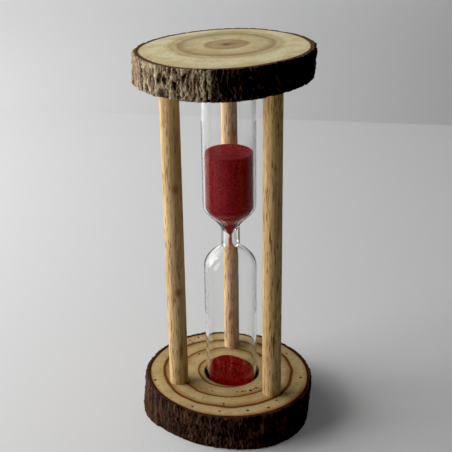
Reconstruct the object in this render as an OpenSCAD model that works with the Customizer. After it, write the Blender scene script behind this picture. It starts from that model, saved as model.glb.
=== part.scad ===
// A sand timer: a sealed glass vial held between two slices of a branch by three dowels.
// The origin is on the floor, under the axis of the glass. +Z is up and -Y is the front.
// All sizes are in millimetres and all angles in degrees.

/* [Stand] */
// Height of the upper slice's top face, at the glass axis
stand_h = 160; // [130:1:200]
// Radial gap between the bark's inner wall and the wood
bark_gap = 0.05; // [0.02:0.01:0.2]

/* [Lower slice] */
// Thickness at the glass axis
bottom_t = 15.5; // [14:0.5:24]
// Mean radius of the wood
bottom_wood_r = 34.4; // [31:0.1:45]
// Thickness of the bark at its ridges
bottom_bark_t = 2.4; // [1.5:0.1:4]
// Position of the slice's centre along X
bottom_shift = -1; // [-3:0.1:3]
// Tilt of the top face, lower towards +X
bottom_tilt = 2.1; // [0:0.1:3]
// How far the bark's lower rim swells and draws in
bottom_flare = 2; // [0:0.1:3]

/* [Upper slice] */
// Thickness at the glass axis
top_t = 12; // [11:0.5:20]
// Mean radius of the wood
top_wood_r = 32.6; // [31:0.1:45]
// Thickness of the bark at its ridges
top_bark_t = 2.6; // [1.5:0.1:4]
// Position of the slice's centre along X
top_shift = -1.2; // [-3:0.1:3]
// Tilt of the underside, higher towards +X
top_under_tilt = 2.2; // [0:0.1:3]
// Tilt of the top face, higher towards +X
top_face_tilt = 1.5; // [0:0.1:3]
// How far the bark's lower rim swells and draws in
top_flare = 0.8; // [0:0.1:3]

/* [Bark] */
// Number of upright ridges around a slice
ridges = 29; // [15:1:40]
// Depth of the furrows between the ridges
ridge_h = 0.7; // [0:0.05:1]
// How far the ridges wander sideways from bottom to top
ridge_sway = 7; // [0:1:15]
// Least thickness of bark left in any furrow
bark_least = 0.6; // [0.3:0.1:1]

/* [Dowels] */
// Diameter
dowel_d = 8; // [5:0.5:10]
// Distance of the left dowel's axis from the glass axis
left_reach = 24.2; // [21:0.1:26]
// Direction of the left dowel
left_angle = 199.5; // [190:0.5:215]
// Distance of the right dowel's axis from the glass axis
right_reach = 23.5; // [21:0.1:26]
// Direction of the right dowel
right_angle = 316; // [305:0.5:335]
// Distance of the rear dowel's axis from the glass axis
rear_reach = 24.3; // [21:0.1:26]
// Direction of the rear dowel
rear_angle = 89; // [80:0.5:100]
// Depth of the sockets in the lower slice, at the glass axis
bottom_socket = 9; // [5:0.5:11]
// Depth of the sockets in the upper slice, at the glass axis
top_socket = 7; // [4:0.5:9]
// Glue gap around and beyond each dowel's end
socket_gap = 0.05; // [0.02:0.01:0.2]

/* [Glass] */
// Outer diameter of the tube
tube_d = 22; // [16:0.5:27]
// Wall of the tube
glass_wall = 1; // [0.7:0.1:1.6]
// Outer diameter of the neck
neck_d = 7; // [5:0.1:9]
// Length of the straight neck
neck_l = 6.8; // [4:0.1:10]
// Diameter of the hole through the neck
orifice_d = 1.2; // [1:0.1:2]
// Height of the neck above the middle of the glass
neck_rise = 0.3; // [-3:0.1:3]
// Height of the hole's narrowest point above the middle of the neck
orifice_rise = 1.6; // [-2:0.1:2]
// Height of the upper bulb's shoulder
upper_shoulder = 11; // [8:0.5:16]
// Height of the lower bulb's shoulder
lower_shoulder = 10; // [8:0.5:16]
// Outer rounding of the two sealed ends
end_round = 5; // [3:0.5:7]

/* [Recesses] */
// Depth of the lower slice's recess, at the glass axis
bottom_recess = 10.5; // [7:0.5:11]
// Depth of the upper slice's recess, at the glass axis
top_recess = 7; // [5:0.5:8]
// Radial gap between the glass and its recesses
recess_gap = 0.8; // [0.3:0.1:1.5]
// Thickness of the felt pads under and over the glass
pad_t = 1; // [0.5:0.1:1.5]
// Gap around each pad
pad_gap = 0.2; // [0.1:0.1:0.5]
// Play between the glass and each pad
end_play = 0.05; // [0.02:0.01:0.2]

/* [Sand] */
// Height of the straight column of sand above the upper bulb's shoulder
upper_column = 22.5; // [8:0.1:30]
// Height of the straight column of sand over the lower bulb's rounded end
lower_column = 1.2; // [1:0.1:10]
// Least thickness of the moving top layers
layer_t = 0.6; // [0.4:0.1:1.5]
// Slope of the lower sand's surface
heap_tilt = 17; // [0:1:30]
// Direction that the lower sand's surface rises in
heap_angle = 130; // [0:5:355]
// Radius of the small cone under the stream
cone_r = 4; // [2:0.5:6]
// Height of the small cone under the stream
cone_h = 2.6; // [1.5:0.1:4]
// Diameter of the falling stream
stream_d = 0.9; // [0.4:0.1:0.9]
// Air gap between the sand and the glass, and between neighbouring pieces of sand
sand_gap = 0.1; // [0.05:0.05:0.2]

/* [Hidden] */

$fn = 64;
outline_steps = 180;    // corners of each slice's outline
bark_levels = 6;        // rings of corners up the bark
profile_steps = 48;     // points on each curved stretch of glass
round_steps = 8;        // steps around each quarter circle of a sealed end
reach = 200;            // larger than the whole timer, for cutting blocks
over = 1;               // how far a shape runs past the face that cuts it

// Uneven growth: [lobes around the slice, size, direction of the first lobe]
bottom_lobes = [[2, 0.35, 290], [5, 0.15, 40], [9, 0.08, 12]];
top_lobes = [[4, 0.5, 257], [2, 0.2, 30], [7, 0.1, 75]];
flare_lobes = 3;
bottom_flare_angle = 303;
top_flare_angle = 290;

top_under_z = stand_h - top_t;

// Dowels
dowel_low_z = bottom_t - bottom_socket;
dowel_high_z = top_under_z + top_socket;
dowel_places = [[left_reach, left_angle], [right_reach, right_angle], [rear_reach, rear_angle]];

// Recesses and glass
tube_r = tube_d / 2;
neck_r = neck_d / 2;
orifice_r = orifice_d / 2;
bore_r = tube_r - glass_wall;
recess_r = tube_r + recess_gap;
recess_floor_z = bottom_t - bottom_recess;
recess_roof_z = top_under_z + top_recess;
vial_low_z = recess_floor_z + pad_t + end_play;
vial_high_z = recess_roof_z - pad_t - end_play;
neck_z = (vial_low_z + vial_high_z) / 2 + neck_rise;
neck_low_z = neck_z - neck_l / 2;
neck_high_z = neck_z + neck_l / 2;
orifice_z = neck_z + orifice_rise;
shoulder_low_z = neck_low_z - lower_shoulder;
shoulder_high_z = neck_high_z + upper_shoulder;
bore_low_z = vial_low_z + glass_wall;
bore_high_z = vial_high_z - glass_wall;
bore_round = end_round - glass_wall;

// Shape of the shoulders: how gently the curve leaves the neck, and how squarely it meets the tube
upper_shape = [2, 2.3];
lower_shape = [1.1, 2.4];
// How fast the thick glass of the neck thins out, going up and going down
upper_thinning = 9;
lower_thinning = 4;

// Sand
sand_r = bore_r - sand_gap;
stream_r = stream_d / 2;
upper_column_low_z = shoulder_high_z + sand_gap;
upper_layer_low_z = shoulder_high_z + upper_column;
lower_base_high_z = bore_low_z + bore_round;
lower_column_low_z = lower_base_high_z + sand_gap;
heap_low_z = lower_base_high_z + lower_column;
heap_rise = sand_r * tan(heap_tilt);
heap_mid_z = heap_low_z + layer_t + heap_rise;
cone_low_z = heap_mid_z - cone_r * tan(heap_tilt) - sand_gap;

// ---- Slices of the branch ----

// Radius of an uneven outline in one direction
function lobed(angle, mean_r, lobes, i = 0) =
    i == len(lobes) ? mean_r
    : lobes[i][1] * cos(lobes[i][0] * (angle - lobes[i][2])) + lobed(angle, mean_r, lobes, i + 1);

function polar(r, angle) = [r * cos(angle), r * sin(angle)];

function outline(mean_r, lobes) =
    [for (i = [0:outline_steps - 1])
        let (angle = i * 360 / outline_steps)
        polar(lobed(angle, mean_r, lobes), angle)];

// Depth of the bark's furrows, from 0 on a ridge to 1 in a furrow. level runs from 0 to 1. The waves in here only
// keep the ridges from being alike: their sizes were chosen by eye.
function furrow(angle, level) =
    let (sway = ridge_sway * sin(2 * angle + 140 * level) / 4)
    let (wave = sin(ridges * (angle + sway) / 2 + 50 * sin(5 * angle)))
    1 - pow(abs(wave), 0.7) * (0.75 + 0.25 * cos(11 * angle + 200 * level));

// Height of a tilted face above one point. slope is its rise along +X.
function face_z(z, slope, x) = z + slope * x;

// A ring of bark around a slice. faces gives [height at the axis, slope] of the underside and the top.
module bark_ring(wood_r, bark_t, lobes, shift, faces, flare, flare_angle) {
    n = outline_steps;
    outer = [for (k = [0:bark_levels], i = [0:n - 1])
        let (angle = i * 360 / n, level = k / bark_levels)
        let (swell = flare * cos(flare_lobes * (angle - flare_angle)) * (1 - level))
        let (rough = ridge_h * furrow(angle, level))
        let (t = max(bark_t + swell - rough, bark_least))
        let (p = polar(lobed(angle, wood_r + t, lobes), angle))
        let (x = p[0] + shift)
        let (low = face_z(faces[0][0], faces[0][1], x), high = face_z(faces[1][0], faces[1][1], x))
        [x, p[1], low + (high - low) * level]];
    inner = [for (k = [0, 1], i = [0:n - 1])
        let (angle = i * 360 / n)
        let (p = polar(lobed(angle, wood_r + bark_gap, lobes), angle))
        let (x = p[0] + shift)
        [x, p[1], face_z(faces[k][0], faces[k][1], x)]];
    first_inner = n * (bark_levels + 1);
    top_outer = n * bark_levels;
    top_inner = first_inner + n;
    quads = concat(
        [for (k = [0:bark_levels - 1], i = [0:n - 1])
            let (a = k * n + i, b = k * n + (i + 1) % n)
            [a, a + n, b + n, b]],
        [for (i = [0:n - 1])
            let (a = first_inner + i, b = first_inner + (i + 1) % n)
            [a, b, b + n, a + n]],
        [for (i = [0:n - 1])
            let (j = (i + 1) % n)
            [i, j, first_inner + j, first_inner + i]],
        [for (i = [0:n - 1])
            let (j = (i + 1) % n)
            [top_outer + j, top_outer + i, top_inner + i, top_inner + j]]);
    // Each four-cornered patch is split in two, because its corners needn't lie in one plane.
    triangles = [for (q = quads, half = [0, 1]) half == 0 ? [q[0], q[1], q[2]] : [q[0], q[2], q[3]]];
    polyhedron(points = concat(outer, inner), faces = triangles);
}

// The half space above a tilted face
module above(z, tilt) {
    translate([0, 0, z]) rotate([0, -tilt, 0]) translate([-reach, -reach, 0]) cube(2 * reach);
}

module slice_blank(wood_r, lobes, shift, low_z, high_z) {
    translate([shift, 0, low_z]) linear_extrude(high_z - low_z) polygon(outline(wood_r, lobes));
}

// Straight holes for the dowels' ends
module sockets(low_z, high_z) {
    for (place = dowel_places)
        translate(concat(polar(place[0], place[1]), [low_z]))
            cylinder(d = dowel_d + 2 * socket_gap, h = high_z - low_z);
}

bottom_slope = -tan(bottom_tilt);
bottom_faces = [[0, 0], [bottom_t, bottom_slope]];
bottom_blank_z = bottom_t + bottom_wood_r * tan(bottom_tilt) + 2 * over;

module bottom_wood() {
    color("burlywood") difference() {
        slice_blank(bottom_wood_r, bottom_lobes, bottom_shift, 0, bottom_blank_z);
        above(bottom_t, -bottom_tilt);
        translate([0, 0, recess_floor_z]) cylinder(r = recess_r, h = reach);
        sockets(dowel_low_z, reach);
    }
}

module bottom_bark() {
    color("saddlebrown")
        bark_ring(bottom_wood_r, bottom_bark_t, bottom_lobes, bottom_shift, bottom_faces,
                  bottom_flare, bottom_flare_angle);
}

top_faces = [[top_under_z, tan(top_under_tilt)], [stand_h, tan(top_face_tilt)]];
top_margin = top_wood_r * tan(max(top_under_tilt, top_face_tilt)) + 2 * over;

module top_wood() {
    color("palegoldenrod") difference() {
        slice_blank(top_wood_r, top_lobes, top_shift, top_under_z - top_margin, stand_h + top_margin);
        above(stand_h, top_face_tilt);
        translate([0, 0, top_under_z]) rotate([180, 0, 0]) above(0, -top_under_tilt);
        translate([0, 0, top_under_z - top_margin - over])
            cylinder(r = recess_r, h = top_recess + top_margin + over);
        sockets(top_under_z - top_margin - over, dowel_high_z);
    }
}

module top_bark() {
    color("dimgray")
        bark_ring(top_wood_r, top_bark_t, top_lobes, top_shift, top_faces, top_flare, top_flare_angle);
}

// ---- Dowels and pads ----

module dowel(reach_out, angle) {
    color("tan")
        translate(concat(polar(reach_out, angle), [dowel_low_z + socket_gap]))
            cylinder(d = dowel_d, h = dowel_high_z - dowel_low_z - 2 * socket_gap);
}

module dowel_left() { dowel(left_reach, left_angle); }
module dowel_right() { dowel(right_reach, right_angle); }
module dowel_rear() { dowel(rear_reach, rear_angle); }

module pad(low_z) {
    color("olivedrab") translate([0, 0, low_z]) cylinder(r = recess_r - pad_gap, h = pad_t);
}

module bottom_pad() { pad(recess_floor_z); }
module top_pad() { pad(recess_roof_z - pad_t); }

// ---- Glass ----

// A curve from 0 to 1. shape gives how gently it starts and how squarely it ends.
function ease(s, shape) = 1 - pow(1 - pow(s, shape[0]), shape[1]);

function clamp(s) = min(max(s, 0), 1);

// Outer radius of the neck, shoulders and tube at one height
function glass_r(z) =
    let (up = clamp((z - neck_high_z) / upper_shoulder), down = clamp((neck_low_z - z) / lower_shoulder))
    neck_r + (tube_r - neck_r) * (z > neck_z ? ease(up, upper_shape) : ease(down, lower_shape));

// Thickness of the glass at one height: thick at the orifice, and the tube's wall past the shoulders
function wall_at(z) =
    let (away = z > orifice_z ? (z - orifice_z) / (shoulder_high_z - orifice_z)
                              : (orifice_z - z) / (orifice_z - shoulder_low_z))
    let (thinning = z > orifice_z ? upper_thinning : lower_thinning)
    glass_wall + (neck_r - orifice_r - glass_wall) * pow(1 - clamp(away), thinning);

// Heights from low to high, closer together at both ends
function heights(low, high, steps) = [for (i = [0:steps]) low + (high - low) * (1 - cos(180 * i / steps)) / 2];

// The quarter circles of a sealed end, from the axis outwards or back. side is -1 below and 1 above.
function round_end(r, z, corner, side) =
    [for (i = [0:round_steps])
        let (angle = (side < 0 ? 270 : 0) + 90 * i / round_steps)
        [r - corner + corner * cos(angle), z - side * corner + corner * sin(angle)]];

// The line from bulb to bulb. inset is 0 outside the glass and 1 inside it.
function bulb_line(inset) =
    [for (z = heights(shoulder_low_z, shoulder_high_z, profile_steps)) [glass_r(z) - inset * wall_at(z), z]];

module revolved(points) {
    rotate_extrude() polygon(points);
}

module glass_vial() {
    color("aliceblue", 0.35) difference() {
        revolved(concat([[0, vial_low_z]], round_end(tube_r, vial_low_z, end_round, -1), bulb_line(0),
                        round_end(tube_r, vial_high_z, end_round, 1), [[0, vial_high_z]]));
        revolved(concat([[0, bore_low_z]], round_end(bore_r, bore_low_z, bore_round, -1), bulb_line(1),
                        round_end(bore_r, bore_high_z, bore_round, 1), [[0, bore_high_z]]));
    }
}

// ---- Sand ----

module sand(shade = "firebrick") {
    color(shade) children();
}

module sand_cylinder(r, low_z, high_z) {
    sand() translate([0, 0, low_z]) cylinder(r = r, h = high_z - low_z);
}

module upper_sand_funnel() {
    line = [for (z = heights(orifice_z, shoulder_high_z, profile_steps)) [glass_r(z) - wall_at(z) - sand_gap, z]];
    sand() revolved(concat([[0, orifice_z]], line, [[0, shoulder_high_z]]));
}

module upper_sand_column() { sand_cylinder(sand_r, upper_column_low_z, upper_layer_low_z - sand_gap); }
module upper_sand_surface() { sand_cylinder(sand_r, upper_layer_low_z, upper_layer_low_z + layer_t); }

module falling_stream() {
    sand_cylinder(stream_r, cone_low_z + cone_h + sand_gap, orifice_z - sand_gap);
}

module lower_sand_base() {
    corner = bore_round - sand_gap;
    sand() revolved(concat([[0, bore_low_z + sand_gap]], round_end(sand_r, bore_low_z + sand_gap, corner, -1),
                           [[sand_r, lower_base_high_z], [0, lower_base_high_z]]));
}

module lower_sand_column() { sand_cylinder(sand_r, lower_column_low_z, heap_low_z - sand_gap); }

module lower_sand_heap() {
    sand() {
        difference() {
            translate([0, 0, heap_low_z]) cylinder(r = sand_r, h = layer_t + 2 * heap_rise + over);
            translate([0, 0, heap_mid_z]) rotate([0, 0, heap_angle]) above(0, heap_tilt);
        }
        translate([0, 0, cone_low_z]) cylinder(r1 = cone_r, r2 = 0, h = cone_h);
    }
}

bottom_wood();
bottom_bark();
bottom_pad();
dowel_left();
dowel_right();
dowel_rear();
top_wood();
top_bark();
top_pad();
glass_vial();
upper_sand_funnel();
upper_sand_column();
upper_sand_surface();
falling_stream();
lower_sand_base();
lower_sand_column();
lower_sand_heap();
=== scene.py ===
"""Looks of the sand timer: bark, end grain, dowels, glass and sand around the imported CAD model."""

import math
import random

import bpy
import numpy as np
from mathutils import Matrix, Vector, noise
from mathutils.bvhtree import BVHTree


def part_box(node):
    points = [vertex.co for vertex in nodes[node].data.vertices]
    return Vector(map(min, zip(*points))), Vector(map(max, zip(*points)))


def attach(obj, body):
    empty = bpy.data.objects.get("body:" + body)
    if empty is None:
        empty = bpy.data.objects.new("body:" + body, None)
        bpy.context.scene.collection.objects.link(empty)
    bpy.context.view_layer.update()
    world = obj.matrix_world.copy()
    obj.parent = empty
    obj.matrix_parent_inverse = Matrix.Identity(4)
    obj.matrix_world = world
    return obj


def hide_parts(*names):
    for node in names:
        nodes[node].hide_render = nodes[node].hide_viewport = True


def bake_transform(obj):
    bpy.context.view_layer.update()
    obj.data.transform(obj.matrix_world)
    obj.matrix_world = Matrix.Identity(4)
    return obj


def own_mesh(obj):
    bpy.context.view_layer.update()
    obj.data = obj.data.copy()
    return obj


MM = 0.001
SEED = 7
noise.seed_set(SEED)   # noise_vector() would otherwise start somewhere else in each run

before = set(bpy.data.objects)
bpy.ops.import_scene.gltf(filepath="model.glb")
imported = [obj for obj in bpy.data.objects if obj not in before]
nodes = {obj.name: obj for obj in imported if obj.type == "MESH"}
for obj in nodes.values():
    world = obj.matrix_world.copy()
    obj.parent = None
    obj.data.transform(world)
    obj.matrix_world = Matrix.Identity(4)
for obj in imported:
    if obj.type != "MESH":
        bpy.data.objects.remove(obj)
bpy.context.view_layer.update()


# ---------------------------------------------------------------- measuring the frame

def vertices(node):
    """A CAD node's points, in millimetres."""
    return np.array([v.co for v in nodes[node].data.vertices], float) / MM


def low_z(node):
    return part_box(node)[0].z / MM


def high_z(node):
    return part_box(node)[1].z / MM


def plane_through(points):
    """(a, b, c) of the plane z = a + b x + c y nearest to the points."""
    columns = np.column_stack([np.ones(len(points)), points[:, 0], points[:, 1]])
    return np.linalg.lstsq(columns, points[:, 2], rcond=None)[0]


def height_on(plane, x, y):
    return plane[0] + plane[1] * x + plane[2] * y


class Slice:
    """The outline and faces of one slice of the branch, in millimetres, measured on its CAD nodes."""

    HARMONICS = 9

    def __init__(self, wood, bark):
        points = vertices(wood)
        middle = (points[:, 2].min() + points[:, 2].max()) / 2
        self.centre = (points.max(0) + points.min(0))[:2] / 2
        radius, angle = self.polar(points)
        rim = radius > radius.max() - 3
        order = np.argsort(angle[rim])
        self.rim_angles = angle[rim][order]
        self.rim_radii = radius[rim][order]
        self.under = plane_through(points[rim & (points[:, 2] < middle)])
        self.top = plane_through(points[rim & (points[:, 2] > middle)])
        self.fit_bark(vertices(bark))

    def polar(self, points):
        offset = points[:, :2] - self.centre
        return np.hypot(offset[:, 0], offset[:, 1]), np.arctan2(offset[:, 1], offset[:, 0])

    def wood_radius(self, angles):
        return np.interp(angles, self.rim_angles, self.rim_radii, period=2 * math.pi)

    def terms(self, angles, levels):
        """The terms of a smooth surface: whole waves around the slice, each changing evenly with the
        level, which is 0 at the lower face and 1 at the upper one."""
        waves = [np.ones_like(angles)]
        for k in range(1, self.HARMONICS + 1):
            waves += [np.cos(k * angles), np.sin(k * angles)]
        waves = np.stack(waves, -1)
        return np.concatenate([waves, waves * levels[..., None]], -1)

    def fit_bark(self, points):
        radius, angle = self.polar(points)
        outer = radius > self.wood_radius(angle) + 0.3
        x, y, z = points[outer].T
        low, high = height_on(self.under, x, y), height_on(self.top, x, y)
        levels = (z - low) / (high - low)
        self.bark_fit = np.linalg.lstsq(self.terms(angle[outer], levels), radius[outer], rcond=None)[0]

    def bark_radius(self, angles, levels):
        return self.terms(angles, levels) @ self.bark_fit


# ---------------------------------------------------------------- meshes

def mesh_object(name, points, faces, smooth=True):
    """An object from points in millimetres."""
    mesh = bpy.data.meshes.new(name)
    mesh.from_pydata((np.asarray(points) * MM).tolist(), [], faces)
    mesh.validate()
    mesh.update()
    for polygon in mesh.polygons:
        polygon.use_smooth = smooth
    thing = bpy.data.objects.new(name, mesh)
    bpy.context.scene.collection.objects.link(thing)
    return thing


def ring_faces(rows, around, closed=False):
    """The quads between rows of points, each row going once around. A closed stack joins its last row to
    its first."""
    quads = []
    for row in range(rows if closed else rows - 1):
        here, there = row * around, (row + 1) % rows * around
        for i in range(around):
            j = (i + 1) % around
            quads.append((here + i, here + j, there + j, there + i))
    return quads


def rings(profile, around):
    """Rows of points, one circle about Z for each (radius, height)."""
    turns = [2 * math.pi * i / around for i in range(around)]
    return [(r * math.cos(t), r * math.sin(t), z) for r, z in profile for t in turns]


def turned(profile, around, offset=None):
    """The points and faces of a closed solid of revolution about Z. profile is a list of (radius, height)
    from the lower pole to the upper one, poles left out. offset, if given, moves each point outwards by
    offset(point)."""
    points = []
    for radius, height in profile:
        for i in range(around):
            angle = 2 * math.pi * i / around
            out = Vector((math.cos(angle), math.sin(angle), 0))
            point = out * radius + Vector((0, 0, height))
            if offset:
                point += out * offset(point)
            points.append(point)
    rows = len(profile)
    faces = ring_faces(rows, around)
    points.append(Vector((0, 0, profile[0][1])))
    points.append(Vector((0, 0, profile[-1][1])))
    last = (rows - 1) * around
    for i in range(around):
        j = (i + 1) % around
        faces.append((rows * around, j, i))
        faces.append((rows * around + 1, last + i, last + j))
    return [tuple(p) for p in points], faces


def revolved(name, profile, around, offset=None):
    return mesh_object(name, *turned(profile, around, offset))


def shell(name, outside, inside, around):
    """A hollow solid of revolution."""
    points, faces = turned(outside, around)
    inner_points, inner_faces = turned(inside, around)
    count = len(points)
    faces += [tuple(count + i for i in reversed(face)) for face in inner_faces]
    return mesh_object(name, points + inner_points, faces)


def attribute(thing, name, values):
    """Stores a number for each point of the mesh, which a material reads by its name."""
    made = thing.data.attributes.new(name, "FLOAT", "POINT")
    made.data.foreach_set("value", np.asarray(values, np.float32))


# ---------------------------------------------------------------- node helpers

def material(name):
    made = bpy.data.materials.new(name)
    made.use_nodes = True
    tree = made.node_tree
    shader = tree.nodes["Principled BSDF"]
    return made, tree, shader


def add(tree, kind, inputs=None, **settings):
    """A shader node. inputs maps a socket's name or number to a value or to another node's output."""
    node = tree.nodes.new("ShaderNode" + kind)
    for name, value in settings.items():
        setattr(node, name, value)
    for name, value in (inputs or {}).items():
        if isinstance(value, bpy.types.NodeSocket):
            tree.links.new(value, node.inputs[name])
        else:
            node.inputs[name].default_value = value
    return node


def math_node(tree, operation, a, b=0.0):
    return add(tree, "Math", {0: a, 1: b}, operation=operation).outputs[0]


def vector_node(tree, operation, a, b=(0, 0, 0), output="Vector"):
    return add(tree, "VectorMath", {0: a, 1: b}, operation=operation).outputs[output]


def fade(tree, value, start, end, most=1.0):
    """0 where value is at start, and growing evenly to most where it is at end."""
    limits = {"Value": value, "From Min": start, "From Max": end, "To Max": most}
    return add(tree, "MapRange", limits).outputs[0]


def mix(tree, factor, a, b, blend="MIX"):
    node = add(tree, "Mix", {0: factor, 6: a, 7: b}, data_type="RGBA", blend_type=blend)
    return node.outputs[2]


def ramp(tree, value, stops, interpolation="LINEAR"):
    """A colour ramp. stops is a list of (position, colour), where a colour is one grey or three numbers."""
    node = add(tree, "ValToRGB", {0: value})
    node.color_ramp.interpolation = interpolation
    elements = node.color_ramp.elements
    while len(elements) < len(stops):
        elements.new(1.0)
    for element, (position, colour) in zip(elements, stops):
        element.position = position
        element.color = (*colour, 1) if isinstance(colour, tuple) else (colour, colour, colour, 1)
    return node.outputs[0]


def place(tree, scale=(1, 1, 1), shift=(0, 0, 0)):
    """Object coordinates in millimetres, shifted and then scaled."""
    coordinates = add(tree, "TexCoord").outputs["Object"]
    moved = vector_node(tree, "SUBTRACT", coordinates, tuple(MM * s for s in shift))
    return vector_node(tree, "MULTIPLY", moved, tuple(s / MM for s in scale))


def noise_node(tree, vector, scale=1.0, detail=3.0, roughness=0.5, distortion=0.0):
    inputs = {"Vector": vector, "Scale": scale, "Detail": detail}
    inputs.update({"Roughness": roughness, "Distortion": distortion})
    return add(tree, "TexNoise", inputs).outputs["Fac"]


def bump(tree, height, distance, strength=1.0, normal=None):
    """distance is in millimetres."""
    inputs = {"Height": height, "Distance": distance * MM, "Strength": strength}
    if normal is not None:
        inputs["Normal"] = normal
    return add(tree, "Bump", inputs).outputs[0]


def link(tree, output, shader, socket):
    tree.links.new(output, shader.inputs[socket])


# ---------------------------------------------------------------- materials

RING_WANDER = 3.2      # how far the year rings wander, in mm


def end_grain(name, centre, radius, bands, grain_tint, fleck_tint, pore_tint, pore_size, stain_tint,
              marks=(), hole=None):
    """Sanded end grain with its pith at centre. bands is a list of (radius, colour) from the pith outwards,
    and radius lies past the last of them. marks is a list of (x, y, size, strength) of dark pores. hole is
    the radius of a recess at the glass axis, inside which the wood is painted near-black as shade in the
    recess.
    Lengths are in millimetres."""
    made, tree, shader = material(name)
    flat = place(tree, (1, 1, 0), (*centre, 0))
    wander = add(tree, "TexNoise", {"Vector": flat, "Scale": 0.055, "Detail": 2.0}).outputs["Color"]
    wander = vector_node(tree, "SUBTRACT", wander, (0.5, 0.5, 0.5))
    wander = vector_node(tree, "MULTIPLY", wander, (RING_WANDER,) * 3)
    warped = vector_node(tree, "ADD", flat, wander)
    flattened = vector_node(tree, "MULTIPLY", warped, (1, 1, 0))
    out = vector_node(tree, "LENGTH", flattened, output="Value")
    share = math_node(tree, "DIVIDE", out, radius)
    colour = ramp(tree, share, [(r / radius, c) for r, c in bands])

    # Faint year rings between the strong ones
    fine = math_node(tree, "SINE", math_node(tree, "MULTIPLY", out, 5.2))
    patches = noise_node(tree, place(tree, (0.12, 0.12, 0.12)), 1.0, 3.0, 0.6)
    weight = math_node(tree, "MULTIPLY", math_node(tree, "MULTIPLY", fine, 0.07), patches)
    weight = math_node(tree, "ADD", weight, 0.03)
    colour = mix(tree, math_node(tree, "MAXIMUM", weight, 0.0), colour, (*grain_tint, 1), "MULTIPLY")

    # Soft stains and a fine speckle of vessels
    stains = ramp(tree, patches, [(0.42, 1.0), (0.64, stain_tint)])
    colour = mix(tree, 0.9, colour, stains, "MULTIPLY")
    speckle = noise_node(tree, place(tree, (1, 1, 0.1)), 2.6, 2.0, 0.6)
    vessels = ramp(tree, speckle, [(0.36, (0.70, 0.61, 0.48)), (0.50, 1.0)])
    colour = mix(tree, 0.55, colour, vessels, "MULTIPLY")

    # Flecks: small brownish marks all over
    dots = add(tree, "TexVoronoi", {"Vector": place(tree, (1, 1, 0.05), (9, 4, 0)), "Scale": 1.1})
    fleck = ramp(tree, dots.outputs["Distance"], [(0.16, 1.0), (0.36, 0.0)])
    some = ramp(tree, dots.outputs["Color"], [(0.60, 0.0), (0.72, 0.8)])
    colour = mix(tree, math_node(tree, "MULTIPLY", fleck, some), colour, (*fleck_tint, 1))

    # Pores: scattered, and a few larger ones where the slice shows them
    cells = add(tree, "TexVoronoi", {"Vector": place(tree, (1, 1, 0.05)), "Scale": 0.42})
    pore = ramp(tree, cells.outputs["Distance"], [(pore_size * 0.2, 1.0), (pore_size * 0.42, 0.0)])
    chosen = ramp(tree, cells.outputs["Color"], [(0.54, 0.0), (0.62, 0.85)])
    pores = math_node(tree, "MULTIPLY", pore, chosen)
    here = place(tree, (1, 1, 0))
    for x, y, size, strength in marks:
        gap = vector_node(tree, "DISTANCE", here, (x, y, 0), output="Value")
        pores = math_node(tree, "MAXIMUM", pores, fade(tree, gap, size, size * 0.6, strength))
    colour = mix(tree, pores, colour, (*pore_tint, 1))
    # Painted shade: inside the recess the wood darkens from its edge to near-black.
    if hole:
        inside = vector_node(tree, "LENGTH", here, output="Value")
        recess_shade = fade(tree, inside, hole, hole - 0.5, 0.85)
        colour = mix(tree, recess_shade, colour, (0.03, 0.013, 0.006, 1))
    link(tree, colour, shader, "Base Color")

    sanding = noise_node(tree, place(tree, (0.5, 7, 1)), 1.0, 2.0, 0.5)
    height = math_node(tree, "SUBTRACT", math_node(tree, "MULTIPLY", sanding, 0.5), pores)
    link(tree, bump(tree, height, 0.09), shader, "Normal")
    link(tree, ramp(tree, speckle, [(0.2, 0.68), (0.8, 0.54)]), shader, "Roughness")
    shader.inputs["Specular IOR Level"].default_value = 0.2
    return made


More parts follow.
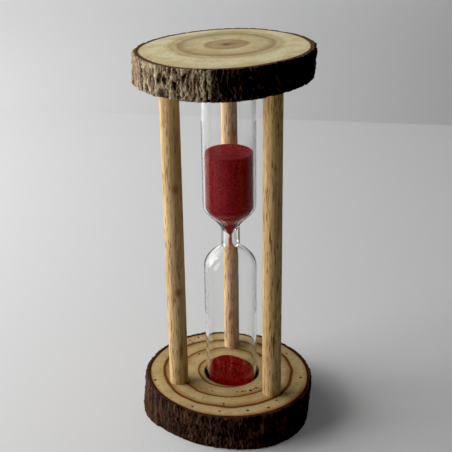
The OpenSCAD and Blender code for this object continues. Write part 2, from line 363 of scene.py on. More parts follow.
def bark_material(name, main_tints, left_tints, left_from, crust, crust_amount, crack_and_shade, stain,
                  sawn_tints):
    """Rough bark. Its colour follows the mesh's own relief, paler on the crests and near-black in the
    furrows, partly the bark's own colour and partly painted light and shade. rim runs from 0 at the wood to
    1 at the outer edge. main_tints and left_tints are (dark, middle, pale) colours, the second for the side
    past left_from towards -X, where the lamps stand. crust is the colour of its patches of lichen or scale,
    crack_and_shade that of its furrows, darker cracks deepened with painted shade, and stain that of soft
    blotches. sawn_tints
    are the colours of the sawn edge: its cambium, the groove beside it, and the outer bark."""
    made, tree, shader = material(name)
    relief = add(tree, "Attribute", attribute_name="relief").outputs["Fac"]
    rim = add(tree, "Attribute", attribute_name="rim").outputs["Fac"]
    bands = noise_node(tree, place(tree, (1, 1, 0.06)), 0.5, 3.0, 0.6)
    fibre = noise_node(tree, place(tree, (1, 1, 0.15)), 2.3, 4.0, 0.65)
    tone = math_node(tree, "MULTIPLY", bands, 0.5)
    tone = math_node(tree, "ADD", tone, math_node(tree, "MULTIPLY", fibre, 0.6))
    # Paler on the crests of the relief: partly the bark's own colour, partly painted light.
    tone = math_node(tree, "ADD", tone, math_node(tree, "MULTIPLY", relief, 0.3))
    tone = math_node(tree, "SUBTRACT", tone, 0.1)
    steps = (0.44, 0.60, 0.78)
    colour = ramp(tree, tone, list(zip(steps, main_tints)))
    # The side towards -X, where the lamps stand, takes its own tints; on the upper bark they are paler,
    # partly lichen and weathering and partly painted light.
    side = add(tree, "SeparateXYZ", {0: place(tree)}).outputs["X"]
    wander = noise_node(tree, place(tree, (0.3, 0.3, 0.03)), 1.0, 2.0)
    side = math_node(tree, "ADD", side, math_node(tree, "MULTIPLY", wander, 8))
    side = fade(tree, side, left_from + 5, left_from)
    colour = mix(tree, side, colour, ramp(tree, tone, list(zip(steps, left_tints))))
    blotches = noise_node(tree, place(tree, (0.2, 0.2, 0.10)), 1.0, 4.0, 0.6)
    colour = mix(tree, 0.7, colour, ramp(tree, blotches, [(0.38, stain), (0.60, 1.0)]), "MULTIPLY")

    # Lichen or scale in upright patches, on the raised bark of the side towards -X
    patches = noise_node(tree, place(tree, (1, 1, 0.07), (31, 7, 0)), 0.42, 3.0, 0.55)
    patches = math_node(tree, "MULTIPLY", ramp(tree, patches, [(0.50, 0.0), (0.58, 1.0)]), side)
    raised = ramp(tree, relief, [(0.35, 0.0), (0.60, 1.0)])
    mottle = ramp(tree, fibre, [(0.34, 0.35), (0.60, 1.0)])
    patches = math_node(tree, "MULTIPLY", math_node(tree, "MULTIPLY", patches, raised), mottle)
    colour = mix(tree, math_node(tree, "MULTIPLY", patches, crust_amount), colour, (*crust, 1))
    # Near-black in the furrows of the relief: darker cracks in the bark, deepened with painted shade.
    colour = mix(tree, ramp(tree, relief, [(0.12, 1.0), (0.34, 0.0)]), colour, (*crack_and_shade, 1))

    # The sawn edge: a line of cambium against the wood, a dark groove, and the outer bark
    ragged = noise_node(tree, place(tree), 0.7, 3.0, 0.6)
    stray = math_node(tree, "MULTIPLY", math_node(tree, "SUBTRACT", ragged, 0.5), 0.25)
    edge = math_node(tree, "ADD", rim, stray)
    cambium, groove, outer = sawn_tints
    sawn = ramp(tree, edge, [(0.12, cambium), (0.22, groove), (0.46, groove), (0.62, outer)])
    colour = mix(tree, ramp(tree, rim, [(0.90, 1.0), (1.0, 0.0)]), colour, sawn)
    link(tree, colour, shader, "Base Color")
    grit = noise_node(tree, place(tree, (1, 1, 0.3)), 3.5, 4.0, 0.7)
    link(tree, bump(tree, grit, 0.5), shader, "Normal")
    link(tree, ramp(tree, tone, [(0.4, 0.95), (0.8, 0.80)]), shader, "Roughness")
    shader.inputs["Specular IOR Level"].default_value = 0.15
    return made


def dowel_material(name, light, dark, vessel, knots=()):
    """Planed rod wood with its grain along Z. knots is a list of (x, y, z, width, height, colour), with
    lengths in millimetres."""
    made, tree, shader = material(name)
    grain = noise_node(tree, place(tree, (1, 1, 0.035)), 1.1, 4.0, 0.6, 0.3)
    colour = ramp(tree, grain, [(0.32, dark), (0.62, light)])
    streaks = noise_node(tree, place(tree, (1, 1, 0.10)), 2.0, 1.0, 0.5)
    open_grain = ramp(tree, streaks, [(0.57, 0.0), (0.64, 1.0)])
    patch = noise_node(tree, place(tree, (0.3, 0.3, 0.02)), 1.0, 2.0)
    patch = ramp(tree, patch, [(0.36, 0.4), (0.52, 1.0)])
    lines = math_node(tree, "MULTIPLY", open_grain, patch)
    colour = mix(tree, math_node(tree, "MULTIPLY", lines, 0.85), colour, (*vessel, 1))
    flecks = noise_node(tree, place(tree, (1, 1, 0.25)), 4.5, 2.0, 0.5)
    fleck_shade = ramp(tree, flecks, [(0.34, (0.78, 0.70, 0.60)), (0.50, 1.0)])
    colour = mix(tree, 0.5, colour, fleck_shade, "MULTIPLY")
    for x, y, z, wide, tall, tint in knots:
        from_knot = place(tree, (1 / wide, 1 / wide, 1 / tall), (x, y, z))
        near = vector_node(tree, "LENGTH", from_knot, output="Value")
        colour = mix(tree, fade(tree, near, 1.0, 0.3), colour, (*tint, 1))
    link(tree, colour, shader, "Base Color")
    relief = math_node(tree, "SUBTRACT", math_node(tree, "MULTIPLY", grain, 0.5), lines)
    link(tree, bump(tree, relief, 0.08), shader, "Normal")
    link(tree, ramp(tree, grain, [(0.2, 0.62), (0.8, 0.50)]), shader, "Roughness")
    shader.inputs["Specular IOR Level"].default_value = 0.25
    return made


def glass_material():
    """Clear glass. Lamps and soft light pass straight through it, so the sand inside is lit."""
    made, tree, shader = material("glass")
    shader.inputs["Base Color"].default_value = (0.985, 0.992, 0.99, 1)
    shader.inputs["Transmission Weight"].default_value = 1
    shader.inputs["IOR"].default_value = 1.42
    shader.inputs["Specular Tint"].default_value = (0.5, 0.5, 0.5, 1)
    smears = noise_node(tree, place(tree, (0.06, 0.06, 0.03)), 1.0, 3.0, 0.6)
    link(tree, ramp(tree, smears, [(0.45, 0.0), (0.75, 0.03)]), shader, "Roughness")
    path = add(tree, "LightPath")
    passing = math_node(tree, "MAXIMUM", path.outputs["Is Shadow Ray"], path.outputs["Is Diffuse Ray"])
    clear = add(tree, "BsdfTransparent", {"Color": (0.96, 0.965, 0.96, 1)}).outputs[0]
    both = add(tree, "MixShader", {0: passing, 1: shader.outputs[0], 2: clear}).outputs[0]
    tree.links.new(both, tree.nodes["Material Output"].inputs["Surface"])
    return made


def sand_material(name, shades):
    """Fine dyed sand, with a few paler and a few glinting grains. shades are the colours of its dark, usual
    and pale grains."""
    made, tree, shader = material(name)
    grains = add(tree, "TexVoronoi", {"Vector": place(tree), "Scale": 3.4})
    shade = ramp(tree, grains.outputs["Color"], list(zip((0.15, 0.60, 0.95), shades)))
    drift = noise_node(tree, place(tree, (0.35, 0.35, 0.2)), 1.0, 3.0, 0.6)
    colour = mix(tree, 0.7, shade, ramp(tree, drift, [(0.35, 0.72), (0.65, 1.0)]), "MULTIPLY")
    clumps = noise_node(tree, place(tree), 1.5, 2.0, 0.6)
    colour = mix(tree, 0.8, colour, ramp(tree, clumps, [(0.36, 0.74), (0.56, 1.0)]), "MULTIPLY")
    link(tree, colour, shader, "Base Color")
    link(tree, bump(tree, grains.outputs["Distance"], -0.12), shader, "Normal")
    link(tree, ramp(tree, grains.outputs["Color"], [(0.5, 0.75), (0.97, 0.30)]), shader, "Roughness")
    shader.inputs["Specular IOR Level"].default_value = 0.12
    return made


def felt_material():
    """Dark green felt."""
    made, tree, shader = material("felt")
    fibres = noise_node(tree, place(tree), 3.0, 5.0, 0.7)
    colour = ramp(tree, fibres, [(0.3, (0.05, 0.06, 0.035)), (0.7, (0.13, 0.15, 0.09))])
    link(tree, colour, shader, "Base Color")
    link(tree, bump(tree, fibres, 0.3), shader, "Normal")
    shader.inputs["Roughness"].default_value = 0.95
    return made


def give(thing, made):
    thing.data.materials.clear()
    thing.data.materials.append(made)


# ---------------------------------------------------------------- bark

BARK_AROUND = 840      # points in a row
BARK_UP = 58           # steps from the lower sawn edge to the upper one
BARK_OVER = 9          # rows across the sawn edge
BARK_GAP = 0.05        # between the bark and its wood, in mm
BARK_LEAST = 0.25      # the bark is nowhere thinner than this, in mm
ON_THE_CAD = 0.58      # the relief that lies on the surface of the CAD bark
EDGE_ROUND = 0.45      # how far a sawn edge is rounded, in mm


def plates(p, wide, tall):
    """Broad upright plates: 0 in the thin cracks between them, and 1 on them."""
    return min(abs(noise.fractal(Vector((p.x / wide, p.y / wide, p.z / tall)), 0.8, 2.1, 4)) * 3.2, 1)


def plated(p):
    """Relief of old bark, 0 in a furrow and 1 on a plate."""
    bent = p + 1.5 * noise.noise_vector(Vector((p.x * 0.13, p.y * 0.13, p.z * 0.11)))
    pit = min(max((0.36 - noise.noise(Vector((bent.x / 2.7, bent.y / 2.7, bent.z / 4.2)))) / 0.14, 0), 1)
    flake = noise.fractal(Vector((p.x * 1.1, p.y * 1.1, p.z * 0.55)), 0.6, 2.0, 5)
    height = 0.26 + 0.30 * plates(bent, 3.4, 30) + 0.22 * plates(bent, 1.3, 7) + 0.30 * flake
    return min(max(height * (0.3 + 0.7 * pit), 0), 1)


def fibrous(p):
    """Relief of young bark, 0 in a furrow and 1 on a crest: fine upright strands, a few longer cracks."""
    bent = p + 0.8 * noise.noise_vector(p * 0.2)
    flake = noise.fractal(Vector((p.x * 1.1, p.y * 1.1, p.z * 0.5)), 0.7, 2.0, 4)
    swell = noise.noise(Vector((p.x * 0.16, p.y * 0.16, p.z * 0.2)))
    height = 0.30 + 0.18 * plates(bent, 3.6, 40) + 0.20 * plates(bent, 1.2, 10) + 0.28 * flake + 0.30 * swell
    return min(max(height, 0), 1)


def bark_piece(name, piece, pattern, depth):
    """A closed ring of bark whose outer face has real relief, up to depth millimetres deep."""
    angles = np.arange(BARK_AROUND) * 2 * math.pi / BARK_AROUND
    wood = piece.wood_radius(angles) + BARK_GAP
    rows, relief, rim = [], [], []

    def row(radius, height_share, drop, relief_row, rim_value):
        x = piece.centre[0] + radius * np.cos(angles)
        y = piece.centre[1] + radius * np.sin(angles)
        low, high = height_on(piece.under, x, y), height_on(piece.top, x, y)
        rows.append(np.column_stack([x, y, low + (high - low) * height_share + drop]))
        relief.append(relief_row)
        rim.append(np.full(BARK_AROUND, rim_value))

    thick = np.mean(piece.top[0] - piece.under[0])
    sides = []
    for k in range(BARK_UP + 1):
        level = k / BARK_UP
        radius = piece.bark_radius(angles, np.full(BARK_AROUND, level))
        spot_z = np.full(BARK_AROUND, level * thick)
        spots = np.column_stack([radius * np.cos(angles), radius * np.sin(angles), spot_z])
        height = np.array([pattern(Vector(s)) for s in spots])
        from_edge = min(level, 1 - level) * thick
        rounding = EDGE_ROUND * (1 - math.sqrt(1 - max(0, 1 - from_edge / EDGE_ROUND) ** 2))
        rough_radius = radius + depth * (height - ON_THE_CAD) - rounding
        sides.append((np.maximum(rough_radius, wood + BARK_LEAST), level, height))

    def edge(outer, relief_row, share, side):
        """One row across a sawn edge, share of the way out from the wood. The bark has shrunk a little
        below the wood, and most in a groove beside it. side is 1 on the upper face and -1 on the lower."""
        radius = wood + (outer - wood) * share
        groove = 0.16 * math.exp(-((share - 0.30) / 0.10) ** 2) + 0.05 * share
        rough = np.array([noise.noise(Vector((r * math.cos(a), r * math.sin(a), 40 * share)) * 0.9)
                          for r, a in zip(radius, angles)])
        row(radius, (side + 1) / 2, -side * (groove + 0.07 * share * np.abs(rough)), relief_row, share)

    shares = [k / BARK_OVER for k in range(BARK_OVER)]
    for share in shares:
        edge(sides[0][0], sides[0][2], share, -1)
    for radius, level, height in sides:
        row(radius, level, 0, height, 1.0)
    for share in reversed(shares):
        edge(sides[-1][0], sides[-1][2], share, 1)
    made = mesh_object(name, np.concatenate(rows), ring_faces(len(rows), BARK_AROUND, closed=True))
    attribute(made, "relief", np.concatenate(relief))
    attribute(made, "rim", np.concatenate(rim))
    return made


lower = Slice("bottom_wood", "bottom_bark")
upper = Slice("top_wood", "top_bark")

lower_bark = bark_piece("lower_bark_ring", lower, fibrous, 1.3)
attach(lower_bark, "stand")
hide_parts("bottom_bark")
give(lower_bark, bark_material(
    "dark_bark", main_tints=[(0.014, 0.008, 0.006), (0.036, 0.020, 0.014), (0.105, 0.066, 0.046)],
    left_tints=[(0.007, 0.0035, 0.0025), (0.027, 0.0125, 0.0075), (0.085, 0.047, 0.030)], left_from=-14,
    crust=(0.16, 0.052, 0.018), crust_amount=0.6, crack_and_shade=(0.004, 0.002, 0.0015), stain=(0.62, 0.48, 0.42),
    sawn_tints=[(0.30, 0.105, 0.026), (0.010, 0.004, 0.0025), (0.062, 0.026, 0.014)]))

upper_bark = bark_piece("upper_bark_ring", upper, plated, 1.6)
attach(upper_bark, "stand")
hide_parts("top_bark")
# Its paler tints on the side towards -X are partly lichen and weathering, partly painted light from the
# lamps' side.
give(upper_bark, bark_material(
    "weathered_bark_and_painted_light", main_tints=[(0.013, 0.009, 0.0065), (0.036, 0.024, 0.018), (0.100, 0.076, 0.054)],
    left_tints=[(0.040, 0.024, 0.016), (0.225, 0.157, 0.100), (0.53, 0.43, 0.295)], left_from=-7,
    crust=(0.62, 0.57, 0.34), crust_amount=0.9, crack_and_shade=(0.012, 0.007, 0.005), stain=(0.60, 0.47, 0.40),
    sawn_tints=[(0.36, 0.185, 0.060), (0.085, 0.040, 0.019), (0.150, 0.082, 0.044)]))

# ---------------------------------------------------------------- wood

BEIGE, STRAW, PALE = (0.42, 0.290, 0.122), (0.50, 0.370, 0.175), (0.53, 0.410, 0.205)
GLOW, RUST, DARK_RUST = (0.36, 0.200, 0.062), (0.170, 0.055, 0.009), (0.105, 0.030, 0.004)
lower_marks = [
    (2.2, -16.6, 0.6, 0.9), (4.4, -16.2, 0.7, 0.9), (5.6, -15.8, 0.6, 0.9), (8.0, -15.3, 0.9, 1.0),
    (9.3, -14.2, 0.6, 0.9), (10.4, -13.3, 0.8, 1.0), (30.2, -4.2, 0.8, 1.0), (15.1, -28.3, 0.8, 1.0),
    (6.4, -30.7, 0.8, 1.0),
    (-33.1, -8.2, 0.8, 1.0), (-8.4, -16.3, 0.55, 0.8), (-5.3, -31.6, 0.7, 0.9), (-16.4, -28.4, 0.7, 0.9),
    (18.7, -22.7, 0.6, 0.9), (-14.7, 14.7, 0.7, 0.9), (-19.0, 27.0, 0.7, 0.9), (-17.0, 28.2, 0.6, 0.9),
    (-15.2, 29.6, 0.7, 0.9), (-17.8, 25.2, 0.6, 0.8), (12.9, 13.8, 0.7, 0.9), (25.3, 16.4, 0.7, 0.9),
    (-3.6, -25.3, 0.5, 0.8), (-3.6, -26.2, 0.5, 0.8), (-3.5, -27.0, 0.5, 0.8), (-12.6, -22.4, 0.5, 0.7),
    (-6.2, 24.5, 0.6, 0.8), (4.8, 25.8, 0.6, 0.8), (-21.5, -6.0, 0.5, 0.7)]
give(nodes["bottom_wood"], end_grain(
    "lower_end_grain", centre=(-1.4, 0.3), radius=40,
    bands=[(0, BEIGE), (11.8, BEIGE), (12.6, GLOW), (12.9, RUST), (13.4, RUST), (13.8, STRAW),
           (17.0, PALE), (19.2, BEIGE), (20.2, GLOW), (20.5, RUST), (21.1, DARK_RUST), (21.4, STRAW),
           (25.0, PALE), (26.4, BEIGE), (27.5, GLOW), (27.8, RUST), (28.2, DARK_RUST), (28.8, DARK_RUST),
           (29.1, BEIGE), (29.8, STRAW), (33.0, PALE), (34.2, (0.46, 0.27, 0.10)),
           (35.2, (0.25, 0.09, 0.022))],
    grain_tint=(0.50, 0.35, 0.21), fleck_tint=(0.20, 0.085, 0.028), pore_tint=(0.035, 0.014, 0.006),
    pore_size=0.42, stain_tint=(0.84, 0.76, 0.62), marks=lower_marks, hole=12.4))

CREAM, GREENISH, TAN = (0.78, 0.67, 0.39), (0.67, 0.58, 0.32), (0.52, 0.38, 0.19)
# The palest ring of the upper face, 25 to 30 mm out, is partly the wood's own tone and partly painted sheen,
# standing in for the grazing light on the back of the face.
PALE_RING_AND_SHEEN = (0.86, 0.79, 0.51)
give(nodes["top_wood"], end_grain(
    "upper_end_grain", centre=(-0.4, 5.0), radius=44,
    bands=[(0, (0.10, 0.05, 0.025)), (0.8, (0.17, 0.09, 0.045)), (2.2, (0.44, 0.30, 0.155)),
           (5.0, (0.55, 0.42, 0.225)), (8.0, (0.49, 0.34, 0.175)), (9.5, CREAM), (15.5, GREENISH),
           (17.6, TAN), (19.0, (0.44, 0.32, 0.165)), (20.0, GREENISH), (22.0, (0.64, 0.53, 0.29)),
           (23.3, CREAM), (25.0, PALE_RING_AND_SHEEN), (30.0, PALE_RING_AND_SHEEN), (34.0, CREAM), (39.0, GREENISH),
           (42.0, (0.60, 0.45, 0.22))],
    grain_tint=(0.58, 0.46, 0.28), fleck_tint=(0.40, 0.24, 0.10), pore_tint=(0.16, 0.08, 0.03),
    pore_size=0.34, stain_tint=(0.86, 0.77, 0.60)))

# ---------------------------------------------------------------- dowels

SOFT_END = 0.5         # how far a dowel's end is rounded, in mm
DOWEL_STEPS = 120      # along a dowel


def dowel_piece(name, node, bow):
    """A rod that isn't quite round, bowed along X by bow millimetres, with softened ends."""
    low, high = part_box(node)
    middle = (low + high) / 2 / MM
    radius = (high.x - low.x) / 2 / MM
    bottom, top = low.z / MM, high.z / MM
    ends = [(radius - SOFT_END, 0.0), (radius - 0.3 * SOFT_END, 0.3 * SOFT_END), (radius, SOFT_END)]
    straight = top - bottom - 2 * SOFT_END
    shaft = [(radius, bottom + SOFT_END + straight * k / DOWEL_STEPS) for k in range(1, DOWEL_STEPS)]
    profile = [(r, bottom + z) for r, z in ends] + shaft + [(r, top - z) for r, z in reversed(ends)]

    def uneven(p):
        along = Vector((p.x * 0.25, p.y * 0.25, p.z * 0.012)) + Vector((middle.x, middle.y, 0))
        planed = noise.noise(Vector((p.x, p.y, p.z * 0.15)) + middle)
        return -0.05 + 0.05 * noise.noise(along) + 0.02 * planed

    made = revolved(name, profile, 72, uneven)
    for v in made.data.vertices:
        share = (v.co.z / MM - bottom) / (top - bottom)
        sway = bow * math.sin(math.pi * share)
        v.co.x += (middle.x + sway) * MM
        v.co.y += middle.y * MM
    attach(made, "stand")
    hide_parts(node)
    return made


LIGHT_ROD, DARK_ROD, VESSEL = (0.59, 0.425, 0.205), (0.36, 0.222, 0.088), (0.21, 0.115, 0.045)
left = dowel_piece("left_rod", "dowel_left", 0.05)
right = dowel_piece("right_rod", "dowel_right", -0.05)
rear = dowel_piece("rear_rod", "dowel_rear", 0.05)


def on_rod(node, angle, height, wide, tall, tint):
    """A mark on a dowel's surface, facing an angle in degrees at a height in millimetres."""
    low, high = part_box(node)
    middle, radius = (low + high) / 2 / MM, (high.x - low.x) / 2 / MM
    turn = math.radians(angle)
    x, y = middle.x + radius * math.cos(turn), middle.y + radius * math.sin(turn)
    return (x, y, height, wide, tall, tint)


give(left, dowel_material("left_rod_wood", LIGHT_ROD, DARK_ROD, VESSEL, [
    on_rod("dowel_left", 291, 106, 2.1, 3.0, (0.33, 0.13, 0.06)),
    on_rod("dowel_left", 287, 60.5, 2.1, 2.8, (0.27, 0.11, 0.05)),
    on_rod("dowel_left", 293, 33, 1.3, 6.0, (0.27, 0.13, 0.055))]))
give(right, dowel_material(
    "right_rod_wood", light=(0.57, 0.395, 0.175), dark=(0.34, 0.202, 0.075), vessel=(0.095, 0.036, 0.011)))
give(rear, dowel_material(
    "rear_rod_wood", light=(0.68, 0.46, 0.25), dark=(0.50, 0.32, 0.155), vessel=(0.10, 0.045, 0.018),
    knots=[on_rod("dowel_rear", 262, 33, 0.9, 3.4, (0.26, 0.12, 0.055))]))

# ---------------------------------------------------------------- pads and glass

felt = felt_material()
give(nodes["bottom_pad"], felt)
give(nodes["top_pad"], felt)


GLASS_EASE = 0.45      # how far the corners of the profile are eased, in mm
GLASS_STEP = 0.2       # between the points of the eased profile, in mm
GLASS_SPARE = 6        # straight tube past each shoulder that the eased profile takes in, in mm
TRIM = 10              # points dropped at each end of it, where the easing has too few neighbours


def measured_glass(node):
    """The outer and inner profiles of the vial, as (radius, height) from the lower pole to the upper one,
    with the corners of its CAD node eased as melted glass is."""
    points = vertices(node)
    radius, height = np.hypot(points[:, 0], points[:, 1]), points[:, 2]
    full = radius.max()
    bottom, top = height.min(), height.max()
    corner = full - radius[height < bottom + 0.01].max()
    levels, outer, inner = [], [], []
    for z in np.unique(height.round(2)):
        here = radius[abs(height - z) < 0.02]
        if bottom + corner + 1 < z < top - corner - 1 and here.max() - here.min() > 0.3:
            levels.append(z)
            outer.append(here.max())
            inner.append(here.min())
    fine = np.arange(levels[0] - GLASS_SPARE, levels[-1] + GLASS_SPARE, GLASS_STEP)
    reach = np.exp(-(np.arange(-8, 9) * GLASS_STEP / GLASS_EASE) ** 2)
    outer, inner = (np.convolve(np.interp(fine, levels, side), reach / reach.sum(), "same")[TRIM:-TRIM]
                    for side in (outer, inner))
    fine = fine[TRIM:-TRIM]
    wall = full - inner[-1]

    def whole(side, radius_here, turn, inset):
        """One profile with its two rounded ends. turn is the radius of their corners."""
        quarter = [math.pi / 2 * k / 10 for k in range(11)]
        flat = [(radius_here - turn) * k / 6 for k in range(1, 6)]
        low, high = bottom + inset, top - inset
        line = [(r, low) for r in flat]
        line += [(radius_here - turn + turn * math.sin(t), low + turn - turn * math.cos(t))
                 for t in quarter]
        line += [(radius_here, z) for z in np.arange(low + turn + 3, fine[0], 3)]
        line += list(zip(side, fine))
        line += [(radius_here, z) for z in np.arange(fine[-1] + 3, high - turn - 1, 3)]
        line += [(radius_here - turn + turn * math.cos(t), high - turn + turn * math.sin(t))
                 for t in quarter]
        return line + [(r, high) for r in reversed(flat)]

    return whole(outer, full, corner, 0), whole(inner, full - wall, corner - wall, wall)


outside, inside = measured_glass("glass_vial")
vial = shell("vial_glass", outside, inside, 120)
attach(vial, "vial")
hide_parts("glass_vial")
give(vial, glass_material())

# ---------------------------------------------------------------- sand

red_sand = sand_material("red_sand", [(0.17, 0.001, 0.003), (0.33, 0.005, 0.011), (0.58, 0.022, 0.038)])
for static in ("upper_sand_funnel", "lower_sand_base"):
    give(nodes[static], red_sand)
sand_radius = (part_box("upper_sand_column")[1].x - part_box("upper_sand_column")[0].x) / 2 / MM


def grainy(depth):
    """An offset for revolved() that roughens a surface inwards, by up to depth millimetres."""
    return lambda p: -depth * abs(noise.fractal(p * 1.7, 0.7, 2.1, 3))


def sand_piece(thing, node, body):
    """Sand that stands for a CAD node. body is None for a piece that is blended between two bodies."""
    give(thing, red_sand)
    if body:
        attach(thing, body)
    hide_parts(node)


column_low, column_high = low_z("upper_sand_column"), high_z("upper_sand_column")
rows = [(sand_radius, column_low + (column_high - column_low) * k / 60) for k in range(61)]
column = revolved("upper_column_sand", rows, 160, grainy(0.06))
sand_piece(column, "upper_sand_column", "vial")
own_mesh(column)


SHARP = 0.08           # how close the rows beside an edge of the sand are, in mm


def sand_top(name, node, body, roughness, sink, peak_share=1.0):
    """A layer of sand whose upper face follows its CAD node, roughened with grains. sink is how far it
    reaches down towards the sand under it, and peak_share is how much is kept of any peak that stands out
    of its tilted plane."""
    finder = BVHTree.FromObject(nodes[node], bpy.context.evaluated_depsgraph_get())
    floor, above = low_z(node) - sink, high_z(node) + 5

    def top_at(x, y):
        start = Vector((x * 0.99, y * 0.99, above)) * MM
        return finder.ray_cast(start, Vector((0, 0, -1)))[0].z / MM

    rim = [(math.cos(t), math.sin(t)) for t in (2 * math.pi * k / 36 for k in range(36))]
    rim = [(sand_radius * x, sand_radius * y, top_at(sand_radius * x, sand_radius * y)) for x, y in rim]
    plane = plane_through(np.array(rim))
    around, steps = 160, 60

    def surface(x, y):
        flat = height_on(plane, x, y)
        hit = flat + peak_share * max(top_at(x, y) - flat, 0)
        grain = roughness * noise.fractal(Vector((x, y, 3.0)) * 1.6, 0.7, 2.1, 3)
        settle = roughness * noise.noise(Vector((x, y, 9.0)) * 0.35)
        return hit + grain + settle - roughness

    circles = [(sand_radius * k / 3, lambda x, y: floor) for k in range(1, 3)]
    circles += [(sand_radius - SHARP, lambda x, y: floor), (sand_radius, lambda x, y: floor)]
    circles += [(sand_radius, lambda x, y: floor + SHARP)]
    circles += [(sand_radius, lambda x, y: surface(x, y) - SHARP)]
    circles += [(sand_radius, surface), (sand_radius - SHARP, surface)]
    circles += [(sand_radius * k / steps, surface) for k in range(steps - 1, 0, -1)]
    points, faces = [(0.0, 0.0, floor)], []
    for radius, height in circles:
        for i in range(around):
            angle = 2 * math.pi * i / around
            x, y = radius * math.cos(angle), radius * math.sin(angle)
            points.append((x, y, height(x, y)))
    points.append((0.0, 0.0, plane[0] + peak_share * (top_at(0, 0) - plane[0]) - roughness))
    rows = len(circles)
    for i in range(around):
        j = (i + 1) % around
        faces.append((0, 1 + j, 1 + i))
        for k in range(rows - 1):
            a, b = 1 + k * around, 1 + (k + 1) * around
            faces.append((a + i, a + j, b + j, b + i))
        last = 1 + (rows - 1) * around
        faces.append((last + i, last + j, len(points) - 1))
    made = mesh_object(name, points, faces)
    sand_piece(made, node, body)
    return made


sand_top("upper_level_sand", "upper_sand_surface", "upper_level", 0.10, sink=0.03)
sand_top("heap_sand", "lower_sand_heap", "lower_level", 0.12, sink=0.08, peak_share=0.45)

low, high = low_z("lower_sand_column"), high_z("lower_sand_column")
rows = [(sand_radius - SHARP, low), (sand_radius, low), (sand_radius, low + 0.01)]
rows += [(sand_radius, high - 0.01), (sand_radius, high), (sand_radius - SHARP, high)]
riser = revolved("lower_column_sand", rows, 160)
sand_piece(riser, "lower_sand_column", None)
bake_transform(riser)

STRAND = 5             # length of the unbroken strand under the orifice, in mm
GRAINS = 2000          # loose grains beside and below it
GRAIN_R = (0.07, 0.13)
SPREAD = (0.32, 0.60)  # how far the grains stray at the top and at the bottom, in mm
CORNERS = [Vector(c) for c in ((1, 0, 0), (-1, 0, 0), (0, 1, 0), (0, -1, 0), (0, 0, 1), (0, 0, -1))]
SIDES = [(0, 2, 4), (2, 1, 4), (1, 3, 4), (3, 0, 4), (2, 0, 5), (1, 2, 5), (3, 1, 5), (0, 3, 5)]


def stream_piece(name, radius, low, high):
    """The falling stream: a tapered strand, and eight-sided grains that thin out as they fall."""
    strand = [(radius * (0.95 - 0.80 * (k / 60)), high - STRAND * k / 60) for k in range(60, -1, -1)]
    points, faces = turned(
        strand, 14, lambda p: -0.1 * abs(noise.noise(Vector((p.x * 2, p.y * 2, p.z * 1.4)))))
    draw = random.Random(SEED)
    for _ in range(GRAINS):
        fallen = draw.random() ** 5
        z = high - STRAND * 0.4 - fallen * (high - STRAND * 0.4 - low - 0.3)
        turn = draw.uniform(0, 2 * math.pi)
        away = abs(draw.gauss(0, SPREAD[0] + (SPREAD[1] - SPREAD[0]) * fallen))
        middle = Vector((away * math.cos(turn), away * math.sin(turn), z))
        size = draw.uniform(*GRAIN_R)
        first = len(points)
        points += [tuple(middle + c * size * draw.uniform(0.8, 1.2)) for c in CORNERS]
        faces += [tuple(first + i for i in side) for side in SIDES]
    return mesh_object(name, points, faces)


low, high = low_z("falling_stream"), high_z("falling_stream")
stream_radius = (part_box("falling_stream")[1].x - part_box("falling_stream")[0].x) / 2 / MM
stream = stream_piece("stream_sand", stream_radius, low, high)
sand_piece(stream, "falling_stream", "vial")
# The falling grains are painted far paler and pinker than the same red sand at rest: painted light for the
# bright stream.
give(stream, sand_material("falling_sand", [(0.55, 0.08, 0.11), (0.78, 0.22, 0.26), (0.85, 0.42, 0.45)]))
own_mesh(stream)

# ---------------------------------------------------------------- floor, lights and camera

BLACK = 0.006          # light below this shows as black
SHEET_SIDE = 862       # a square sheet of paper under the timer, in mm
SHEET_TURN = -10       # degrees
TABLE_FLAT = 1500      # the table is flat to this radius, in mm, and then curves up all around
TABLE_RISE = 900       # the radius of that curve, in mm
TABLE_DROP = 0.6       # how far the table lies under the paper, in mm
TABLE_AROUND = 96
FLAG_INNER, FLAG_OUTER = 90, 430    # radii of a black ring that only reflections see, in mm
TIMER_MIDDLE = 0.08    # the height that the lamps face, in metres
LENS = 79.54
CAMERA_PLACE = (-1.55, -380.75, 246.8)    # in mm
PITCH, ROLL = 0.4014, -0.0144             # in radians


def glow_paper(name, pale, glow, slope=(0, 0)):
    """Plain paper that gives off some light itself, as if other lamps in the room lit it. glow is that
    light at the timer, and slope is how fast it grows with X and with Y, per metre."""
    made, tree, shader = material(name)
    tooth = noise_node(tree, place(tree), 0.6, 3.0, 0.6)
    link(tree, ramp(tree, tooth, [(0.3, pale * 0.985), (0.7, pale * 1.015)]), shader, "Base Color")
    shader.inputs["Roughness"].default_value = 0.8
    shader.inputs["Specular IOR Level"].default_value = 0
    rise = (slope[0] * MM, slope[1] * MM, 0)
    along = vector_node(tree, "DOT_PRODUCT", place(tree), rise, output="Value")
    shader.inputs["Emission Color"].default_value = (1, 1, 1, 1)
    light = math_node(tree, "MAXIMUM", math_node(tree, "ADD", along, glow))
    link(tree, light, shader, "Emission Strength")
    return made


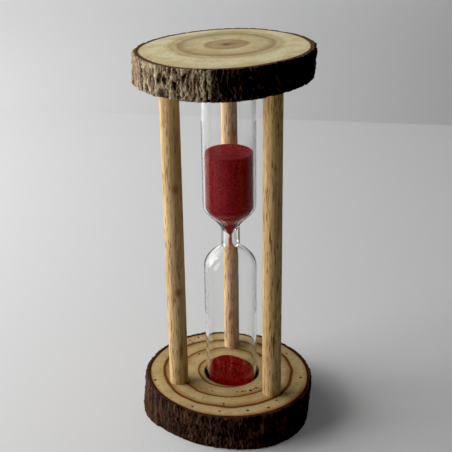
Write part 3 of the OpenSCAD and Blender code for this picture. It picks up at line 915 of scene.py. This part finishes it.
half = SHEET_SIDE / 2
corners = [(-half, -half, 0), (half, -half, 0), (half, half, 0), (-half, half, 0)]
sheet = mesh_object("paper_sheet", corners, [(0, 1, 2, 3)])
sheet.rotation_euler = (0, 0, math.radians(SHEET_TURN))
profile = [(TABLE_FLAT * k / 10, -TABLE_DROP) for k in range(1, 11)]
profile += [(TABLE_FLAT + TABLE_RISE * math.sin(t), TABLE_RISE * (1 - math.cos(t)) - TABLE_DROP)
            for t in (math.pi / 2 * k / 16 for k in range(1, 17))]
points = rings(profile, TABLE_AROUND) + [(0.0, 0.0, -TABLE_DROP)]
faces = ring_faces(len(profile), TABLE_AROUND)
faces += [(len(points) - 1, i, (i + 1) % TABLE_AROUND) for i in range(TABLE_AROUND)]
table = mesh_object("table", points, faces)
give(sheet, glow_paper("paper", 0.605, 0.06, slope=(-0.12, 0.10)))
give(table, glow_paper("table_top", 0.515, 0.0, slope=(-0.40, 0.33)))
flag = mesh_object("black_flag", rings([(FLAG_INNER, 0.5), (FLAG_OUTER, 0.5)], 64), ring_faces(2, 64))
give(flag, glow_paper("black_card", 0.02, 0.0))
flag.visible_camera = flag.visible_diffuse = False
flag.visible_transmission = flag.visible_shadow = False


def lamp(name, angle, elevation, distance, size, power, colour=(1, 1, 1)):
    """A square area light that faces the middle of the timer. angle is its direction about Z, from +X, in
    degrees, and lengths are in metres."""
    data = bpy.data.lights.new(name, "AREA")
    data.size = size
    data.energy = power
    data.color = colour
    thing = bpy.data.objects.new(name, data)
    bpy.context.scene.collection.objects.link(thing)
    turn, rise = math.radians(angle), math.radians(elevation)
    way = Vector((math.cos(turn) * math.cos(rise), math.sin(turn) * math.cos(rise), math.sin(rise)))
    thing.location = Vector((0, 0, TIMER_MIDDLE)) + way * distance
    thing.location.z = max(thing.location.z, size / 2 * math.cos(rise) + 0.01)
    thing.rotation_euler = way.to_track_quat("Z", "Y").to_euler()
    thing.visible_camera = False
    return thing


lamp("window_low", 187, 12, 0.8, 0.7, 8.4)
lamp("window_side", 165, 14, 0.85, 0.7, 3.6)
lamp("window_high", 150, 32, 0.9, 0.7, 3.2)

world = bpy.data.worlds.new("room")
world.use_nodes = True
world.node_tree.nodes["Background"].inputs["Color"].default_value = (0.9, 0.93, 1.0, 1)
world.node_tree.nodes["Background"].inputs["Strength"].default_value = 0.05
bpy.context.scene.world = world
view = bpy.context.scene.view_settings
view.view_transform = "Standard"
view.use_curve_mapping = True
view.curve_mapping.black_level = (BLACK, BLACK, BLACK)
view.curve_mapping.update()

camera_data = bpy.data.cameras.new("camera")
camera_data.lens = LENS
camera = bpy.data.objects.new("camera", camera_data)
bpy.context.scene.collection.objects.link(camera)
camera.location = Vector(CAMERA_PLACE) * MM
turned_down = Matrix.Rotation(math.pi / 2 - PITCH, 3, "X")
camera.rotation_euler = (turned_down @ Matrix.Rotation(ROLL, 3, "Z")).to_euler()
bpy.context.scene.camera = camera
